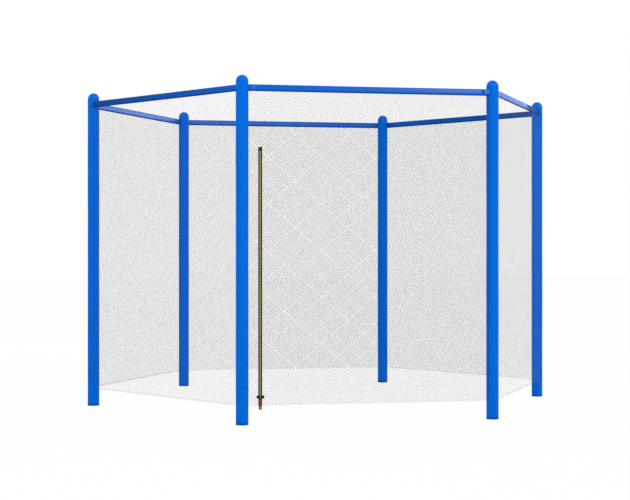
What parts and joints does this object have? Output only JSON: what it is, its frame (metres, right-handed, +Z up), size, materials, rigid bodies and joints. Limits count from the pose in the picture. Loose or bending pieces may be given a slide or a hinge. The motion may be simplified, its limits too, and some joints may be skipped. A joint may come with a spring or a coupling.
{
  "type": "trampoline safety enclosure",
  "caption": "Hexagonal safety net enclosure with foam-padded blue poles, domed caps, diamond mesh panels, a blue top band and a zipped entrance.",
  "frame": {"origin": "on the ground, at the centre of the circle of poles", "axes": "+Z up; -Y towards the front panel with the zipped entrance; +X to the right as seen from the front"},
  "size_m": [3.122, 2.7134, 2.036],
  "materials": {
    "steel": "galvanised, dull",
    "foam": "closed-cell foam",
    "sleeve_fabric": "coated fabric, slight sheen",
    "cap_plastic": "moulded, satin",
    "net": "thin dark yarn in a diamond mesh",
    "blue_webbing": "woven, stitched edges",
    "zip_tape": "woven zip tape",
    "zip_teeth": "moulded",
    "black_webbing": "woven",
    "black_plastic": "moulded, matt",
    "slider_metal": "lacquered, worn"
  },
  "bodies": {
    "enclosure": {"lower_tube_left": "steel", "upper_tube_left": "steel", "pole_foam_left": "foam", "pole_cover_left": "sleeve_fabric", "pole_cap_left": "cap_plastic", "lower_tube_front_left": "steel", "upper_tube_front_left": "steel", "pole_foam_front_left": "foam", "pole_cover_front_left": "sleeve_fabric", "pole_cap_front_left": "cap_plastic", "lower_tube_front_right": "steel", "upper_tube_front_right": "steel", "pole_foam_front_right": "foam", "pole_cover_front_right": "sleeve_fabric", "pole_cap_front_right": "cap_plastic", "lower_tube_right": "steel", "upper_tube_right": "steel", "pole_foam_right": "foam", "pole_cover_right": "sleeve_fabric", "pole_cap_right": "cap_plastic", "lower_tube_back_right": "steel", "upper_tube_back_right": "steel", "pole_foam_back_right": "foam", "pole_cover_back_right": "sleeve_fabric", "pole_cap_back_right": "cap_plastic", "lower_tube_back_left": "steel", "upper_tube_back_left": "steel", "pole_foam_back_left": "foam", "pole_cover_back_left": "sleeve_fabric", "pole_cap_back_left": "cap_plastic", "pole_joint_screws": "steel", "net_panel_front_left": "net", "top_band_front_left": "blue_webbing", "bottom_hem_front_left": "net", "net_panel_front": "net", "top_band_front": "blue_webbing", "bottom_hem_front": "net", "net_panel_front_right": "net", "top_band_front_right": "blue_webbing", "bottom_hem_front_right": "net", "net_panel_back_right": "net", "top_band_back_right": "blue_webbing", "bottom_hem_back_right": "net", "net_panel_back": "net", "top_band_back": "blue_webbing", "bottom_hem_back": "net", "net_panel_back_left": "net", "top_band_back_left": "blue_webbing", "bottom_hem_back_left": "net", "bottom_hem_beside_zip": "net", "zip_tape_left": "zip_tape", "zip_tape_right": "zip_tape", "zip_teeth_left": "zip_teeth", "zip_teeth_right": "zip_teeth", "zip_top_tab": "black_webbing", "zip_bottom_stop": "zip_teeth"},
    "zip_slider": {"zip_slider": "slider_metal", "slider_grip": "black_plastic"},
    "outer_pull": {"outer_pull": "slider_metal"},
    "inner_pull": {"inner_pull": "slider_metal"}
  },
  "joints": [
    {"name": "zip_travel", "type": "slide", "parent": "enclosure", "child": "zip_slider", "axis": [0, 0, 1], "range_m": [0, 1.42]},
    {"name": "outer_pull_swing", "type": "hinge", "parent": "zip_slider", "child": "outer_pull", "pos_m": [-0.66, -1.34904, 0.151], "axis": [-1, 0, 0], "range_deg": [0, 150]},
    {"name": "inner_pull_swing", "type": "hinge", "parent": "zip_slider", "child": "inner_pull", "pos_m": [-0.66, -1.33944, 0.151], "axis": [1, 0, 0], "range_deg": [0, 150]}
  ]
}
